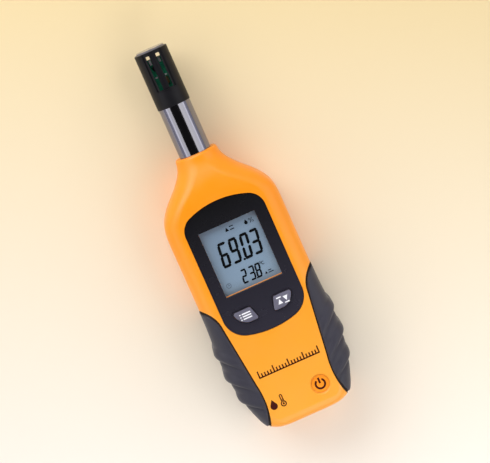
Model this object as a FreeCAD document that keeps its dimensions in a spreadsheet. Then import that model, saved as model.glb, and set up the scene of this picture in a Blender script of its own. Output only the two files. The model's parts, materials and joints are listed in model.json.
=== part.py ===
"""Handheld humidity and temperature meter, lying on its back.

X is to the right of the display, Y runs to the probe tip and Z comes out of the face. The origin is
on the back face under the middle of the instrument's length. Every driving size is a named cell.
"""
import FreeCAD, Part
import math
import os
import re
import Sketcher
from FreeCAD import Placement, Rotation, Vector

# Cross-sections of the case along Y: place, half width, half thickness, corner radius.
CASE_STATIONS = {
    "end": (-100, 15.5, 11, 7),
    "end_turn": (-99.4, 18.3, 13.2, 7.6),
    "end_round": (-98, 20.9, 15, 8.1),
    "heel": (-95.5, 23.2, 15.9, 8.5),
    "low_palm": (-90, 25.7, 16.1, 8.5),
    "palm": (-84, 27.7, 16.1, 8.5),
    "high_palm": (-76, 29.6, 16.1, 8.5),
    "grip_wide": (-66, 31, 16.1, 8.5),
    "grip_high": (-54, 31.2, 16.1, 8.5),
    "waist": (-40, 30.5, 16.1, 8.5),
    "low_display": (-26, 30.3, 16.1, 8.5),
    "display": (-12, 30.3, 16.1, 8.5),
    "high_display": (1, 30.3, 16.1, 8.5),
    "upper": (10, 30.2, 16.1, 8.5),
    "shoulder": (14.5, 29.6, 16.1, 8.6),
    "shoulder_turn": (19, 27.5, 16.1, 9),
    "slope": (24, 23.7, 15.75, 9.8),
    "low_slope": (29, 18.8, 14.9, 10.5),
    "throat": (34, 14.6, 13.4, 10.8),
    "neck": (38, 12.2, 12, 10.8),
    "high_neck": (41.5, 11.2, 11.2, 10.6),
    "lip": (43, 10.9, 10.9, 10.5),
    "mouth": (43.6, 10.4, 10.4, 10),
}
# Cross-sections of the room inside the case, in the same order.
ROOM_STATIONS = {
    "room_end": (-97.4, 18.5, 12.4, 5),
    "room_heel": (-93, 20.6, 13.5, 6),
    "room_palm": (-84, 23.6, 13.8, 6.3),
    "room_grip": (-66, 27, 13.8, 6.3),
    "room_high_grip": (-52, 27, 13.8, 6.3),
    "room_waist": (-36, 27.2, 13.8, 6.3),
    "room_display": (-20, 27.4, 13.8, 6.3),
    "room_high": (-5, 27.6, 13.8, 6.3),
    "room_top": (8, 27.6, 13.8, 6.3),
    "room_shoulder": (17, 25.6, 13.8, 6.3),
    "room_slope": (23, 20.9, 13.4, 6.8),
    "room_throat": (28.6, 15.9, 12.3, 7),
}
DIMENSIONS = {
    # Case halves.
    "middle": 16, "thickness": 32, "reach": 120, "seam_gap": 0.05,
    # Rubber grips: depth of the recess, clearance round the edge, height of the three ridges.
    "grip_side": 1.6, "grip_face": 1.2, "grip_gap": 0.3, "ridge_rise": 1.3, "ridge_face": 0.9,
    "grip_out": 35, "grip_apex": 29.3, "grip_apex_half": 30.2, "grip_bend_half": 23.2,
    "grip_bend": 41, "grip_bend_radius": 15, "grip_low_half": 19.3, "grip_low": 74,
    "grip_end_half": 21.6, "grip_end": 98.2, "grip_end_radius": 46, "rear_grip_step": 3,
    "ridge_long": 15, "ridge_wide": 4.4, "ridge_turn": 50,
    "first_ridge": 58.4, "second_ridge": 70.8, "third_ridge": 82.4, "first_ridge_half": 28.2,
    "second_ridge_half": 28.2, "third_ridge_half": 26.6,
    # Dark panel in its recess, and the display window through it.
    "panel_half": 21.4, "panel_top": 13.6, "panel_top_radius": 42.9, "panel_top_corner": 9,
    "panel_low": 45.6, "panel_low_radius": 46.8, "panel_low_corner": 12, "panel_gap": 0.12,
    "recess_floor": 30.8, "panel_face": 31.5, "face_out": 34,
    "window_half": 15.1, "window_top": 7.2, "window_low": 27.4, "window_step": 0.22,
    "window_ease": 0.3,
    # Display stack, from the clear lens down to the board.
    "inner_face": 29.8, "lens_half": 17.3, "lens_top": 10.2, "lens_low": 30, "lens_front": 29.7,
    "lens_back": 28.6, "glass_half": 16.6, "glass_top": 9.5, "glass_low": 29.4, "glass_front": 28.5,
    "glass_back": 26.3, "light_half": 15.9, "light_top": 7, "light_low": 27, "strip_half": 15.5,
    "strip_wide": 1.8, "strip_inset": 0.3,
    # Main board and what it carries.
    "board_front": 23.8, "board_back": 22.2, "board_half": 19.4, "board_top": 17, "board_step": 78,
    "board_low_half": 15, "board_low": 93, "board_post": 2, "board_hole": 1.1, "post_pilot": 0.81,
    "chip_half": 6, "chip_top": 6, "chip_low": 18, "chip_back": 20.7, "lead_reach": 1.2,
    "lead_half": 0.25, "lead_step": 1.6, "lead_back": 21.7, "crystal_radius": 1.5,
    "crystal_long": 7, "crystal_half": 12.5, "crystal_low": 20, "can_radius": 2.5, "can_long": 8,
    "can_half": 14.5, "can_low": 22, "socket_half": 4, "socket_top": 12.5, "socket_low": 7,
    "socket_back": 18, "plug_half": 3.2, "plug_top": 16, "plug_front": 21.6, "plug_back": 18.4,
    # Keys, their mat, domes and contacts.
    "key_outer": 15.3, "key_top": 36.1, "key_inner_top": 6.3, "key_inner_low": 4.1, "key_low": 43,
    "key_flat": 9.5, "key_side": 37.5, "key_curve": 8, "key_corner": 0.9, "key_gap": 0.45,
    "key_skirt": 0.9, "key_face": 32.6, "skirt_front": 29.7, "skirt_back": 28.7, "key_middle": 9.7,
    "key_middle_low": 39.3, "stem_radius": 1.3, "pill_radius": 1.9, "pill_front": 25.6,
    "pill_back": 24.8, "mat_front": 24.4, "dome_base": 4, "dome_top": 2.7, "dome_wall": 0.5,
    "dome_gap": 0.05, "mat_half": 17.2, "mat_top": 34.9, "mat_step": 46, "mat_neck": 5,
    "mat_foot": 80.5, "mat_foot_half": 14.9, "mat_low": 92.8,
    "power_half": 10.3, "power_low": 86.5, "power_radius": 4.5, "power_room": 4.65,
    "power_ease": 0.8, "power_skirt": 5.5, "power_skirt_front": 29.3, "power_face": 31.2,
    # Screws and their posts.
    "post_radius": 3, "rear_post": 3.4, "head_radius": 2.5, "head_room": 2.7, "head_low": 2.1,
    "head_high": 4.1, "shank_radius": 1.4, "shank_room": 1.6, "thread_room": 1.41, "screw_end": 26,
    "pilot_end": 27, "small_head": 1.7, "small_head_low": 20.9, "small_shank": 0.8,
    "small_end": 28.4, "cross_long": 2.8, "cross_wide": 0.7, "cross_deep": 1,
    # Battery, its compartment and its sliding door.
    "battery_half": 13.25, "battery_top": 44, "battery_low": 92.5, "battery_back": 3.4,
    "battery_front": 20.9, "battery_corner": 2, "snap_half": 12.6, "snap_top": 40.6,
    "snap_back": 4.2, "snap_front": 20.1, "bay_half": 13.9, "bay_wall": 1.4, "bay_top": 37,
    "bay_low": 94, "bay_back": 2.45, "bay_front": 21, "bay_roof": 21.8, "door_half": 14.6,
    "door_rail": 15.5, "door_top": 38, "door_tongue": 36.6, "tongue_half": 8, "rail_low": 96,
    "door_face": 2.3, "rail_back": 1.2, "door_gap": 0.12, "pad_half": 9, "pad_low": 97.3,
    "pad_back": 6, "pad_front": 18, "thumb_half": 7, "thumb_top": 84, "thumb_step": 2.2,
    "thumb_wide": 0.9, "thumb_deep": 0.6, "lead_radius": 0.7, "lead_side": 4, "lead_level": 12,
    "lead_turn": 34, "lead_bend": 8,
    # Probe: tube, ring and seal in the neck, cap with windows and slots, sensor board.
    "tube_radius": 8.3, "tube_bore": 7.5, "tube_low": 24, "tube_top": 69.9, "tube_gap": 0.02,
    "ring_radius": 9.6, "ring_low": 30.3, "ring_top": 33.3, "ring_room": 9.8, "room_low": 30.2,
    "room_high": 33.4, "seal_radius": 9.3, "seal_low": 39.8, "seal_top": 41.8,
    "cap_radius": 8.6, "cap_bore": 6.9, "cap_top": 100, "cap_edge": 98.9, "cap_crown": 99.6,
    "crown_radius": 7.2, "plug_radius": 7.45, "plug_bore": 6.5, "plug_low": 62, "cap_roof": 99.05,
    "opening_floor": 8, "opening_half": 5, "opening_low": 78.8, "opening_top": 99.3,
    "slot_half": 0.93, "slot_side": 2.6, "slot_low": 79.2, "slot_top": 97.3, "notch_half": 0.8,
    "notch_deep": 0.5, "sensor_half": 4, "sensor_back": 15.5, "sensor_front": 16.5,
    "sensor_low": 58, "sensor_top": 95.1, "holder_low": 62.6, "holder_top": 66.4,
    "wet_half": 1.6, "wet_side": 1.2, "wet_low": 80.9, "wet_top": 84.4, "wet_front": 17.7,
    "bead_radius": 0.9, "bead_side": 1.6, "bead_low": 90, "joint_side": 2.45, "joint_half": 0.55,
    "joint_front": 16.85, "first_joint": 85.4, "second_joint": 93.4, "joint_short": 0.4,
    "joint_long": 1.3, "cable_radius": 1.3, "cable_level": 20, "cable_bend": 31,
}

doc = FreeCAD.newDocument("humidity_meter")
sheet = doc.addObject("Spreadsheet::Sheet", "Dims")
PIECES = []


def fill_sheet():
    """Write every driving size into the sheet, one aliased cell each."""
    cells = dict(DIMENSIONS)
    for station, sizes in list(CASE_STATIONS.items()) + list(ROOM_STATIONS.items()):
        for part, size in zip(("along", "half", "rise", "round"), sizes):
            cells[f"{station}_{part}"] = size
    for row, (alias, size) in enumerate(cells.items(), start=1):
        sheet.set(f"A{row}", alias)
        sheet.set(f"B{row}", str(size))
        sheet.setAlias(f"B{row}", alias)
    doc.recompute()
    return cells


CELLS = fill_sheet()


def bound(expression):
    """Turn the bare cell names in an expression into references to the sheet."""
    return re.sub(r"[A-Za-z_]\w*", lambda word: "Dims." + word[0] if word[0] in CELLS else word[0],
                  str(expression))


def amount(expression):
    """Add up an expression made only of cell names and numbers with plus or minus signs."""
    total = 0.0
    for sign, word in re.findall(r"([+-]?)\s*([\w.]+)", str(expression)):
        size = CELLS[word] if word in CELLS else float(word)
        total += -size if sign == "-" else size
    return total


def tie(thing, sizes):
    """Bind several properties of one object to expressions over the sheet."""
    for name, expression in sizes.items():
        thing.setExpression(name, bound(expression))
    return thing


# Solids with flat and round faces.

def block(name, x, y, z):
    """Box between two expressions along each axis."""
    return tie(doc.addObject("Part::Box", name), {
        "Length": f"({x[1]}) - ({x[0]})", "Width": f"({y[1]}) - ({y[0]})",
        "Height": f"({z[1]}) - ({z[0]})", "Placement.Base.x": x[0],
        "Placement.Base.y": y[0], "Placement.Base.z": z[0]})


def rod(name, radius, x, y, z):
    """Upright cylinder between two heights."""
    return tie(doc.addObject("Part::Cylinder", name), {
        "Radius": radius, "Height": f"({z[1]}) - ({z[0]})", "Placement.Base.x": x,
        "Placement.Base.y": y, "Placement.Base.z": z[0]})


def shaft(name, radius, low, high, x="0", z="middle"):
    """Cylinder lying along Y, on the probe's axis unless told otherwise."""
    turned = doc.addObject("Part::Cylinder", name)
    turned.Placement = Placement(Vector(0, 0, 0), Rotation(Vector(1, 0, 0), -90))
    return tie(turned, {"Radius": radius, "Height": f"({high}) - ({low})",
                        "Placement.Base.x": x, "Placement.Base.y": low, "Placement.Base.z": z})


def joined(name, shapes):
    fused = doc.addObject("Part::MultiFuse", name)
    fused.Shapes = shapes
    return fused


def without(name, base, tools):
    """Base with one or more tools taken away."""
    taken = doc.addObject("Part::Cut", name)
    taken.Base = base
    taken.Tool = tools[0] if len(tools) == 1 else joined(name + "_tools", tools)
    return taken


def shared(name, first, second):
    both = doc.addObject("Part::Common", name)
    both.Base = first
    both.Tool = second
    return both


def mirrored(name, source):
    """The same shape on the other side of the instrument's centre plane."""
    image = doc.addObject("Part::Mirroring", name)
    image.Source = source
    image.Normal = Vector(1, 0, 0)
    return image


def piece(thing):
    """Mark a finished sub-part: its label is the name of its file."""
    PIECES.append(thing)
    return thing


# Sketches.

def pin(sketch, curve, point, x, y):
    """Hold one point of a curve at a place given by two expressions."""
    for kind, expression in (("DistanceX", x), ("DistanceY", y)):
        index = sketch.addConstraint(
            Sketcher.Constraint(kind, -1, 1, curve, point, amount(expression)))
        sketch.setExpression(f"Constraints[{index}]", bound(expression))


def arc_between(start, finish, radius):
    """Short arc joining two points, turning right on the way if the radius is positive.

    It also tells which of the arc's own ends, 1 or 2, lies at the start: an arc in a sketch
    always runs anticlockwise.
    """
    across = finish - start
    side = Vector(across.y, -across.x, 0).normalize()
    depth = math.sqrt(radius ** 2 - (across.Length / 2) ** 2)
    centre = (start + finish) * 0.5 + side * math.copysign(depth, radius)
    first, last = (finish, start) if radius > 0 else (start, finish)
    low, high = (math.atan2(end.y - centre.y, end.x - centre.x) for end in (first, last))
    if high < low:
        high += 2 * math.pi
    circle = Part.Circle(centre, Vector(0, 0, 1), abs(radius))
    return Part.ArcOfCircle(circle, low, high), (2 if radius > 0 else 1)


def draw(sketch, corners, arcs):
    """Closed outline through corners; arcs maps a corner's number to the radius that follows it."""
    places = [Vector(amount(x), amount(y), 0) for x, y in corners]
    count = len(corners)
    for index, (x, y) in enumerate(corners):
        start, finish = places[index], places[(index + 1) % count]
        if index in arcs:
            arc, first_point = arc_between(start, finish, amount(arcs[index]))
            curve = sketch.addGeometry(arc, False)
            bend = sketch.addConstraint(
                Sketcher.Constraint("Radius", curve, abs(amount(arcs[index]))))
            sketch.setExpression(f"Constraints[{bend}]", f"abs({bound(arcs[index])})")
        else:
            curve = sketch.addGeometry(Part.LineSegment(start, finish), False)
            first_point = 1
        next_x, next_y = corners[(index + 1) % count]
        pin(sketch, curve, first_point, x, y)
        pin(sketch, curve, 3 - first_point, next_x, next_y)


def origin_plane(body, role):
    return next(part for part in body.Origin.OriginFeatures if part.Role == role)


def attached(body, name, role, lift):
    """Sketch on one of a body's own origin planes, lifted off it by an expression."""
    sketch = body.newObject("Sketcher::SketchObject", name)
    sketch.AttachmentSupport = [(origin_plane(body, role), "")]
    sketch.MapMode = "FlatFace"
    sketch.setExpression("AttachmentOffset.Base.z", bound(lift))
    return sketch


def prism(name, corners, z, arcs=None):
    """Body padded from one outline, between two heights."""
    body = doc.addObject("PartDesign::Body", name)
    sketch = attached(body, name + "_outline", "XY_Plane", z[0])
    draw(sketch, corners, arcs or {})
    pad = body.newObject("PartDesign::Pad", name + "_pad")
    pad.Profile = sketch
    pad.setExpression("Length", bound(f"({z[1]}) - ({z[0]})"))
    doc.recompute()
    return body


def upright_edges(shape, chosen):
    """Names of the edges that run along Z and whose place passes the test."""
    names = []
    for number, edge in enumerate(shape.Edges, start=1):
        ends = [vertex.Point for vertex in edge.Vertexes]
        if len(ends) == 2 and (ends[0] - ends[1]).cross(Vector(0, 0, 1)).Length < 1e-6:
            if chosen(ends[0]):
                names.append(f"Edge{number}")
    return names


def rounded(body, radius, chosen=lambda place: True):
    """Fillet the upright edges of a padded body."""
    base = body.Tip
    fillet = body.newObject("PartDesign::Fillet", f"{base.Name}_rounding")
    fillet.Base = (base, upright_edges(base.Shape, chosen))
    fillet.setExpression("Radius", bound(radius))
    doc.recompute()
    return body


def turned_body(name, corners):
    """Body revolved about the probe's axis: corners are (radius, along) pairs."""
    body = doc.addObject("PartDesign::Body", name)
    sketch = attached(body, name + "_profile", "XY_Plane", "middle")
    draw(sketch, corners, {})
    turn = body.newObject("PartDesign::Revolution", name + "_turn")
    turn.Profile = sketch
    turn.ReferenceAxis = (sketch, ["V_Axis"])
    turn.Angle = 360
    doc.recompute()
    return body


# The case.

def section(name, station, side="0", face="0", corner="0"):
    """Rounded rectangle across the case, pulled in at the sides, faces and corners."""
    along, half, rise, bend = (CELLS[f"{station}_{part}"] for part in
                               ("along", "half", "rise", "round"))
    half, rise, bend = half - amount(side), rise - amount(face), bend - amount(corner)
    low, high = CELLS["middle"] - rise, CELLS["middle"] + rise
    sketch = doc.addObject("Sketcher::SketchObject", name)
    sketch.Placement = Placement(Vector(0, along, 0), Rotation(Vector(1, 0, 0), 90))
    sketch.setExpression("Placement.Base.y", bound(f"{station}_along"))
    centres = [(half - bend, low + bend), (half - bend, high - bend),
               (bend - half, high - bend), (bend - half, low + bend)]
    arcs = []
    for quarter, (x, y) in enumerate(centres):
        circle = Part.Circle(Vector(x, y, 0), Vector(0, 0, 1), bend)
        start = (quarter - 1) * math.pi / 2
        arcs.append(Part.ArcOfCircle(circle, start, start + math.pi / 2))
    lines = [Part.LineSegment(arcs[index].EndPoint, arcs[(index + 1) % 4].StartPoint)
             for index in range(4)]
    for curve in arcs + lines:
        sketch.addGeometry(curve, False)
    for index in range(4):
        line, following = index + 4, (index + 1) % 4
        sketch.addConstraint(Sketcher.Constraint("Tangent", index, 2, line, 1))
        sketch.addConstraint(Sketcher.Constraint("Tangent", line, 2, following, 1))
        level = "Vertical" if index % 2 == 0 else "Horizontal"
        sketch.addConstraint(Sketcher.Constraint(level, line))
    for index in (1, 2, 3):
        sketch.addConstraint(Sketcher.Constraint("Equal", 0, index))
    limits = {
        f"{station}_round - ({corner})": Sketcher.Constraint("Radius", 0, bend),
        f"{station}_half - ({side})": Sketcher.Constraint("DistanceX", -1, 1, 4, 1, half),
        f"-{station}_half + ({side})": Sketcher.Constraint("DistanceX", -1, 1, 6, 1, -half),
        f"middle + {station}_rise - ({face})": Sketcher.Constraint("DistanceY", -1, 1, 5, 1, high),
        f"middle - {station}_rise + ({face})": Sketcher.Constraint("DistanceY", -1, 1, 7, 1, low),
    }
    for expression, limit in limits.items():
        index = sketch.addConstraint(limit)
        sketch.setExpression(f"Constraints[{index}]", bound(expression))
    return sketch


def loft(name, stations, side="0", face="0", corner="0"):
    """Smooth solid through a run of cross-sections."""
    solid = doc.addObject("Part::Loft", name)
    solid.Sections = [section(f"{name}_{station}", station, side, face, corner)
                      for station in stations]
    solid.Solid = True
    return solid


def case_block(name, z):
    """Block wide and long enough to take in the whole case between two heights."""
    return block(name, ("-reach", "reach"), ("-reach", "reach"), z)


def grip_zone(name, z, gap="0", step="0"):
    """Prism over the right-hand grip as seen from above, with room round its edge."""
    corners = [("grip_out", f"-grip_apex + {gap}"), (f"grip_apex_half - {gap} + {step}",
                                                     f"-grip_apex + {gap}"),
               (f"grip_bend_half - {gap} + {step}", "-grip_bend"),
               (f"grip_low_half - {gap} + {step}", "-grip_low"),
               (f"grip_end_half - {gap} + {step}", f"-grip_end - {gap}"),
               ("grip_out", f"-grip_end - {gap}")]
    return prism(name, corners, z, {1: "-grip_bend_radius", 3: "-grip_end_radius"})


def ridge_bars():
    """Three slanting bars that mark off the ridges of the right-hand grip."""
    bars = []
    for name in ("first_ridge", "second_ridge", "third_ridge"):
        x = f"{name}_half - ridge_long * 0.5 * cos(ridge_turn)"
        y = f"-{name} - ridge_long * 0.5 * sin(ridge_turn)"
        bar = block(name + "_bar", (x, f"{x} + ridge_long"), (y, f"{y} + ridge_wide"),
                    ("-reach", "reach"))
        bars.append(tie(bar, {"Placement.Rotation.Angle": "ridge_turn"}))
    return joined("ridge_bars", bars)


def grips(skin, under):
    """Four overmoulded rubber grips: front and rear, right and left."""
    raised = shared("ridges", loft("ridge_skin", CASE_STATIONS, "-ridge_rise", "-ridge_face",
                                   "-ridge_face"), ridge_bars())
    stock = without("grip_stock", joined("grip_solid", [skin, raised]), [under])
    zones = {"front": grip_zone("front_grip_zone", ("middle + seam_gap", "face_out")),
             "rear": grip_zone("rear_grip_zone", ("0", "middle"), step="rear_grip_step")}
    for half, zone in zones.items():
        right = piece(shared(f"{half}_right_grip", stock, zone))
        piece(mirrored(f"{half}_left_grip", right))


def grip_recess(name, under, z, step):
    """What a case half loses so that the rubber can sit in it."""
    zone = grip_zone(name + "_zone", z, "grip_gap", step)
    right = without(name, zone, [under])
    return [right, mirrored(name + "_left", right)]


def panel_outline(name, z, gap="0"):
    """Prism with a gently arched top and bottom and well-rounded corners."""
    half = f"panel_half + {gap}"
    corners = [(f"-panel_half - {gap}", f"panel_top + {gap}"), (half, f"panel_top + {gap}"),
               (half, f"-panel_low - {gap}"), (f"-panel_half - {gap}", f"-panel_low - {gap}")]
    body = prism(name, corners, z, {0: "panel_top_radius", 2: "panel_low_radius"})
    rounded(body, "panel_top_corner", lambda place: place.y > 0)
    return rounded(body, "panel_low_corner", lambda place: place.y < -amount("key_top"))


def key_outline(name, z, grow="0"):
    """Prism of the left-hand key: straight top and slanted inner side, curved outer corner."""
    corners = [(f"-key_outer - {grow}", f"-key_top + {grow}"),
               (f"-key_inner_top + {grow}", f"-key_top + {grow}"),
               (f"-key_inner_low + {grow}", f"-key_low - {grow}"),
               ("-key_flat", f"-key_low - {grow}"),
               (f"-key_outer - {grow}", "-key_side")]
    body = prism(name, corners, z, {3: f"key_curve + {grow}"})
    return rounded(body, f"key_corner + {grow}", lambda place: (
        place.x > -amount("key_flat") or place.y > -amount("key_top + key_gap")))


def window_block(name, z, step="0"):
    return block(name, ("-window_half", "window_half"), (f"-window_low + {step}", "window_top"), z)


def key_holes(name, z, grow):
    left = key_outline(name, z, grow)
    return [left, mirrored(name + "_right", left)]


CASE_SCREWS = {"upper_screw": ("16.5", "22.5"), "lower_screw": ("18.9", "-84")}
BOARD_SCREWS = {"top_post": ("16.9", "14.4"), "middle_post": ("16.8", "-32.7"),
                "low_post": ("17.6", "-66")}


def on_both_sides(places, make):
    """Call make(name, x, y) at each place and at its mirror image."""
    made = []
    for name, (x, y) in places.items():
        made.append(make(name + "_right", x, y))
        made.append(make(name + "_left", f"-{x}", y))
    return made


def neck_tools(name):
    """Room for the tube, its locking ring and its seal."""
    return [shaft(name + "_bore", "tube_radius + tube_gap", "tube_low", "mouth_along + 1"),
            shaft(name + "_ring_room", "ring_room", "room_low", "room_high"),
            shaft(name + "_seal_room", "seal_radius + tube_gap", "seal_low", "seal_top")]


def front_shell(slab, room, under):
    """Front half: face, panel recess, window, key holes and screw posts."""
    half = shared("front_half", slab, case_block("front_side", ("middle + seam_gap", "face_out")))
    hollow = without("front_hollow", half, [room] + grip_recess("front_recess", under,
                                                               ("0", "face_out"), "0"))
    posts = on_both_sides(CASE_SCREWS, lambda name, x, y: rod(
        f"front_{name}", "post_radius", x, y, ("middle + seam_gap", "inner_face + 0.2")))
    posts += on_both_sides(BOARD_SCREWS, lambda name, x, y: rod(
        f"front_{name}", "board_post", x, y, ("board_front", "inner_face + 0.2")))
    filled = joined("front_filled", [hollow] + posts)
    tools = on_both_sides(CASE_SCREWS, lambda name, x, y: rod(
        f"thread_{name}", "thread_room", x, y, ("0", "pilot_end")))
    tools += on_both_sides(BOARD_SCREWS, lambda name, x, y: rod(
        f"pilot_{name}", "post_pilot", x, y, ("board_back", "small_end + 0.3")))
    tools += [panel_outline("panel_recess", ("recess_floor", "face_out"), "panel_gap"),
              window_block("shell_window", ("board_front", "face_out"), "window_step")]
    tools += key_holes("shell_key_hole", ("board_front", "face_out"), "key_gap")
    tools.append(rod("power_hole", "power_room", "power_half", "-power_low",
                     ("board_front", "face_out")))
    tools.append(cone("power_easing", "power_room", "power_room + power_ease * 2", "power_half",
                      "-power_low", ("thickness - power_ease", "thickness + power_ease")))
    return piece(without("front_shell", filled, tools + neck_tools("front_neck")))


def battery_bay():
    """Walls and roof that hold the battery over the door."""
    outer = block("bay_outer", ("-bay_half - bay_wall", "bay_half + bay_wall"),
                  ("-bay_low", "-bay_top + bay_wall"), ("bay_back", "bay_roof"))
    inner = block("bay_inner", ("-bay_half", "bay_half"), ("-bay_low - 5", "-bay_top"),
                  ("0", "bay_front"))
    notch = block("bay_notch", ("-lead_side - 1.5", "lead_side + 1.5"),
                  ("-bay_top - 1", "-bay_top + bay_wall + 1"), ("lead_level - 1.5", "bay_front"))
    return without("battery_bay", outer, [inner, notch])


def door_room():
    """Opening for the door: face, rails and the tongue at its upper end."""
    face = block("door_room_face", ("-door_half - door_gap", "door_half + door_gap"),
                 ("-reach", "-door_top + door_gap"), ("-5", "door_face + door_gap"))
    rails = block("door_room_rails", ("-door_rail - door_gap", "door_rail + door_gap"),
                  ("-reach", "-door_top + door_gap"),
                  ("rail_back - door_gap", "door_face + door_gap"))
    tongue = block("door_room_tongue", ("-tongue_half - door_gap", "tongue_half + door_gap"),
                   ("-door_top - 1", "-door_tongue + door_gap"),
                   ("rail_back - door_gap", "door_face + door_gap"))
    return [face, rails, tongue]


def rear_shell(slab, room, under):
    """Back half: screw posts, battery bay and the opening for its door."""
    half = shared("rear_half", slab, case_block("rear_side", ("-5", "middle")))
    hollow = without("rear_hollow", half, [room] + grip_recess("rear_recess", under,
                                                              ("-5", "face_out"),
                                                              "rear_grip_step"))
    posts = on_both_sides(CASE_SCREWS, lambda name, x, y: rod(
        f"rear_{name}", "rear_post", x, y, ("1", "middle")))
    bay = shared("bay_in_case", battery_bay(), slab)
    filled = joined("rear_filled", [hollow, bay] + posts)
    tools = on_both_sides(CASE_SCREWS, lambda name, x, y: rod(
        f"sunk_{name}", "head_room", x, y, ("-1", "head_high")))
    tools += on_both_sides(CASE_SCREWS, lambda name, x, y: rod(
        f"clear_{name}", "shank_room", x, y, ("0", "middle + 1")))
    return piece(without("rear_shell", filled, tools + door_room() + neck_tools("rear_neck")))


def battery_door(slab):
    """Sliding door with side rails, an upper tongue and thumb grooves."""
    face = block("door_plate", ("-door_half", "door_half"), ("-reach", "-door_top"),
                 ("0", "door_face"))
    rails = block("door_rails", ("-door_rail", "door_rail"), ("-rail_low", "-door_top"),
                  ("rail_back", "door_face"))
    tongue = block("door_tongue_plate", ("-tongue_half", "tongue_half"),
                   ("-door_top - 1", "-door_tongue"), ("rail_back", "door_face"))
    plate = shared("door_solid", joined("door_stock", [face, rails, tongue]), slab)
    grooves = [block(f"thumb_groove_{index}", ("-thumb_half", "thumb_half"),
                     (f"-thumb_top - {index} * thumb_step",
                      f"-thumb_top - {index} * thumb_step + thumb_wide"), ("-1", "thumb_deep"))
               for index in range(4)]
    piece(without("battery_door", plate, grooves))


# Display and main board.

def display():
    """Dark panel, clear lens, liquid crystal cell, backlight and contact strips."""
    plate = panel_outline("panel_plate", ("recess_floor", "panel_face"))
    eased = prism("window_easing", [("-window_half", "-window_low"), ("window_half", "-window_low"),
                                    ("window_half", "window_top"), ("-window_half", "window_top")],
                  ("panel_face - window_ease", "panel_face + window_ease"))
    eased.Tip.TaperAngle = 45
    tools = [window_block("panel_window", ("board_front", "face_out")), eased]
    tools += key_holes("panel_key_hole", ("board_front", "face_out"), "key_gap")
    piece(without("display_panel", plate, tools))
    piece(block("lcd_lens", ("-lens_half", "lens_half"), ("-lens_low", "lens_top"),
                ("lens_back", "lens_front")))
    piece(block("lcd_glass", ("-glass_half", "glass_half"), ("-glass_low", "glass_top"),
                ("glass_back", "glass_front")))
    piece(block("lcd_backlight", ("-light_half", "light_half"), ("-light_low", "light_top"),
                ("board_front", "glass_back")))
    across = ("-strip_half", "strip_half")
    depth = ("board_front", "glass_back")
    piece(joined("lcd_connector", [
        block("upper_strip", across, ("glass_top - strip_inset - strip_wide",
                                      "glass_top - strip_inset"), depth),
        block("lower_strip", across, ("-glass_low + strip_inset",
                                      "-glass_low + strip_inset + strip_wide"), depth)]))


def main_board():
    """Circuit board hung from the front half, narrow at its lower end."""
    corners = [("-board_half", "board_top"), ("board_half", "board_top"),
               ("board_half", "-board_step"), ("board_low_half", "-board_step"),
               ("board_low_half", "-board_low"), ("-board_low_half", "-board_low"),
               ("-board_low_half", "-board_step"), ("-board_half", "-board_step")]
    plate = prism("board_plate", corners, ("board_back", "board_front"))
    holes = on_both_sides(BOARD_SCREWS, lambda name, x, y: rod(
        f"board_hole_{name}", "board_hole", x, y, ("board_back - 1", "board_front + 1")))
    piece(without("main_board", plate, holes))


def board_parts():
    """Controller chip, crystal, capacitor and sensor socket under the board."""
    leads = []
    for number in range(-3, 4):
        y = f"-(chip_top + chip_low) * 0.5 + {number} * lead_step"
        leads.append(block(f"chip_lead_{number + 3}",
                           ("-chip_half - lead_reach", "chip_half + lead_reach"),
                           (f"{y} - lead_half", f"{y} + lead_half"), ("lead_back", "board_back")))
    package = block("chip_package", ("-chip_half", "chip_half"), ("-chip_low", "-chip_top"),
                    ("chip_back", "board_back - 0.1"))
    piece(joined("main_chip", [package] + leads))
    piece(shaft("crystal", "crystal_radius", "-crystal_low", "-crystal_low + crystal_long",
                "crystal_half", "board_back - crystal_radius"))
    piece(shaft("capacitor", "can_radius", "-can_low", "-can_low + can_long", "-can_half",
                "board_back - can_radius"))
    shell = block("socket_shell", ("-socket_half", "socket_half"), ("socket_low", "socket_top"),
                  ("socket_back", "board_back"))
    mouth = block("socket_mouth", ("-plug_half - 0.1", "plug_half + 0.1"),
                  ("socket_low + 1", "socket_top + 1"), ("plug_back - 0.1", "plug_front + 0.1"))
    piece(without("board_socket", shell, [mouth]))
    piece(block("sensor_plug", ("-plug_half", "plug_half"), ("socket_low + 1.2", "plug_top"),
                ("plug_back", "plug_front")))


def board_screws():
    """Six small screws that hold the board to the front half."""
    def screw(name, x, y):
        return joined(f"small_screw_{name}", [
            rod(f"small_head_{name}", "small_head", x, y, ("small_head_low", "board_back")),
            rod(f"small_shank_{name}", "small_shank", x, y, ("board_back", "small_end"))])
    piece(joined("board_screws", on_both_sides(BOARD_SCREWS, screw)))


def case_screws():
    """Four screws from the back, each with a cross recess."""
    def screw(name, x, y):
        solid = joined(f"screw_{name}", [
            rod(f"head_{name}", "head_radius", x, y, ("head_low", "head_high")),
            rod(f"shank_{name}", "shank_radius", x, y, ("head_high", "screw_end"))])
        slot = ("cross_long * 0.5", "cross_wide * 0.5")
        depth = ("head_low - 1", "head_low + cross_deep")
        cross = [block(f"cross_{name}_{turn}", (f"{x} - {slot[turn]}", f"{x} + {slot[turn]}"),
                       (f"{y} - {slot[1 - turn]}", f"{y} + {slot[1 - turn]}"), depth)
                 for turn in (0, 1)]
        return without(f"crossed_{name}", solid, cross)
    piece(joined("case_screws", on_both_sides(CASE_SCREWS, screw)))


# Keys.

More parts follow.
